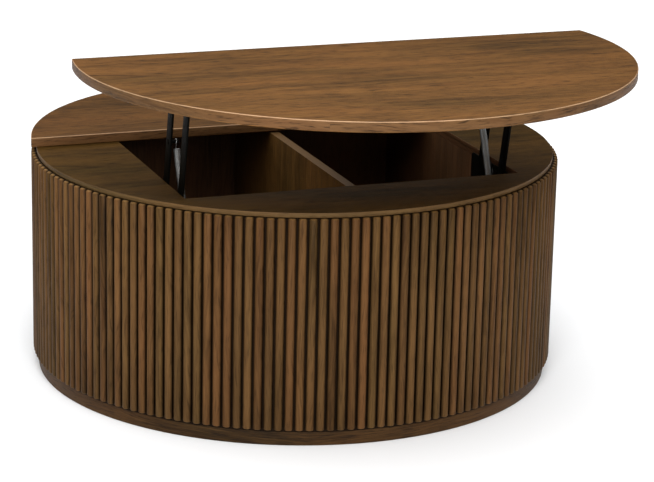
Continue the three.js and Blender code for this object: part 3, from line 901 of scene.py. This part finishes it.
def spring_path(length):
    """The wire of a close-wound tension spring up +Z, with an open hook round each end's stud."""
    eye = STUD + GAP + WIRE
    sweep_angles = [math.radians(HOOK_SWEEP * i / (HOOK_STEPS - 1)) for i in range(HOOK_STEPS)]
    closed = math.radians(HOOK_SWEEP)
    lower = []
    for angle in sweep_angles:
        lower.append(Vector((0, eye * math.cos(angle - closed), eye * math.sin(angle - closed))))
    start, end = HOOK_REACH + WIRE, length - HOOK_REACH - WIRE
    turns = round((end - start) / COIL_PITCH)
    rise = Vector((0, COIL, start))
    lower += [lower[-1].lerp(rise, share) for share in (0.35, 0.75)]
    coil = []
    for i in range(turns * COIL_STEPS + 1):
        angle = 2 * math.pi * i / COIL_STEPS
        z = start + (end - start) * i / (turns * COIL_STEPS)
        coil.append(Vector((COIL * math.sin(angle), COIL * math.cos(angle), z)))
    upper = []
    for angle in sweep_angles:
        upper.append(Vector((0, -eye * math.cos(angle), length + eye * math.sin(angle))))
    bend = [coil[-1].lerp(upper[0], share) for share in (0.3, 0.65)]
    return lower + coil + bend + upper


def make_spring(name, side, look):
    stud = middle(f"spring_stud_{name}")
    low = Vector((side * spring_x, *spring_post))
    high = Vector((side * spring_x, *stud))
    up = (high - low).normalized()
    out = Vector((1, 0, 0))
    back = up.cross(out)
    pose = Matrix.Translation(low) @ Matrix((out, back, up)).transposed().to_4x4()
    bm = sweep(spring_path((high - low).length), WIRE)
    bm.transform(pose)
    bmesh.ops.recalc_face_normals(bm, faces=bm.faces)
    mesh = bpy.data.meshes.new(f"spring_coil_{name}")
    bm.to_mesh(mesh)
    bm.free()
    mesh.materials.append(look)
    piece = bpy.data.objects.new(f"spring_coil_{name}", mesh)
    bpy.context.scene.collection.objects.link(piece)
    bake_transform(piece)
    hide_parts(f"spring_{name}", f"spring_hook_{name}")


def make_brackets(name, side, looks):
    black = looks["black"]
    node = f"base_bracket_{name}"
    low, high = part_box(node)
    corner = PLATE_CORNER
    outline = []
    for y, z, start in (
        (low.y + corner, low.z + corner, math.pi),
        (high.y - corner, low.z + corner, 1.5 * math.pi),
        (high.y - corner, high.z - corner, 0),
        (low.y + corner, high.z - corner, 0.5 * math.pi),
    ):
        outline += arc(corner, start, start + math.pi / 2, 6, (y, z))
    upright_plate(f"base_plate_{name}", outline, plate_x, side, black, "base", [node], "black_steel")
    node = f"top_bracket_{name}"
    low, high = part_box(node)
    fold = high.z - BEND
    ear = (
        [(front_top.x - EAR_RADIUS, fold)]
        + arc(EAR_RADIUS, -math.pi, -math.pi / 2, 10, front_top)
        + arc(EAR_RADIUS, -math.pi / 2, 0, 10, rear_top)
        + [(rear_top.x + EAR_RADIUS, fold)]
    )
    ear_inner = ear_outer - SHEET
    ear_range = (ear_inner, ear_outer)
    upright_plate(f"top_ear_{name}", ear, ear_range, side, black, "lift_top", [node], "black_steel")
    inner = min(abs(low.x), abs(high.x))
    under = high.z - SHEET
    rounds = arc(BEND, 0, math.pi / 2, 5, (ear_outer - BEND, fold))
    section = [(inner, under), (inner, high.z)] + rounds[::-1]
    section += [(ear_outer, under - BEND), (ear_inner, under - BEND), (ear_inner - BEND / 2, under)]
    bm = prism(section, low.y, high.y)
    round_edges(bm, 0.5 * MM)
    bm.transform(Matrix(((side, 0, 0, 0), (0, 0, 1, 0), (0, 1, 0, 0), (0, 0, 0, 1))))
    finish_piece(f"top_flange_{name}", bm, [black], "lift_top", [], "black_steel")


def make_mechanism(name, side, looks):
    black, zinc = looks["black"], looks["zinc"]
    make_brackets(name, side, looks)
    for which, low, high in ARMS:
        node = f"{which}_arm_{name}"
        bar = stick(low, high, ARM_HALF)
        upright_plate(f"{which}_bar_{name}", bar, arm_x, side, black, node, [node], "black_steel", 0.9 * MM)
    inside, outside = arm_x[0] - GAP, arm_x[1] + GAP
    plate = plate_x[0] - GAP
    head, thick = HEAD
    base_pin = [
        (inside - thick, inside, head),
        (inside, outside, PIN),
        (outside, plate, head),
        (plate, plate_x[1], PIN),
    ]
    ear_inside = ear_outer - SHEET - GAP
    top_pin = [
        (ear_inside - thick, ear_inside, head),
        (ear_inside, ear_outer + GAP, PIN),
        (ear_outer + GAP, inside, head),
        (inside, outside, PIN),
        (outside, outside + thick, head),
    ]
    for which, low, high in ARMS:
        for level, place, pin, body in (("base", low, base_pin, "base"), ("top", high, top_pin, "lift_top")):
            node = f"{which}_{level}_pin_{name}"
            turned_pin(f"{which}_{level}_rivet_{name}", pin, place, side, zinc, body, node, "zinc_steel")
    stop = middle(f"stop_stud_{name}")
    stud = [(inside - thick, inside, SLEEVE), (inside, plate_x[1], STUD)]
    turned_pin(f"stop_post_{name}", stud, stop, side, zinc, "base", f"stop_stud_{name}", "zinc_steel")
    sleeve = (f"stop_rubber_{name}", STUD + GAP, SLEEVE, (arm_x[0], plate), stop, side)
    turned_ring(*sleeve, looks["rubber"], "base", f"stop_sleeve_{name}", "rubber")
    make_spring_ends(name, side, black, inside, outside, plate)
    make_spring(name, side, looks["spring"])


def make_spring_ends(name, side, look, inside, outside, plate):
    """The stud on the rear arm and the post on the base bracket, each with a flange for its hook."""
    collar, thick = COLLAR
    flange, flange_thick = EYE_FLANGE
    seat = spring_x - EYE_SEAT
    eye = [(seat - flange_thick, seat, flange)]
    stud = eye + [
        (seat, inside - thick, STUD),
        (inside - thick, inside, collar),
        (inside, outside, STUD),
        (outside, outside + thick, collar),
    ]
    post = eye + [(seat, outside, STUD), (outside, plate, collar), (plate, plate_x[1], STUD)]
    for kind, steps, body in (("stud", stud, f"rear_arm_{name}"), ("post", post, "base")):
        node = f"spring_{kind}_{name}"
        turned_pin(f"spring_{kind}_turned_{name}", steps, middle(node), side, look, body, node, "black_steel")


looks = make_materials()
random.seed(7)
make_camera()
make_world()
make_key_light()
make_floor()
make_base_board(looks)
make_deck(looks)
make_flutes(looks)
make_storage(looks)
make_tops(looks)
make_screws(looks)
for side_name, side_sign in SIDES:
    make_mechanism(side_name, side_sign, looks)
bpy.context.scene.view_settings.view_transform = "Standard"
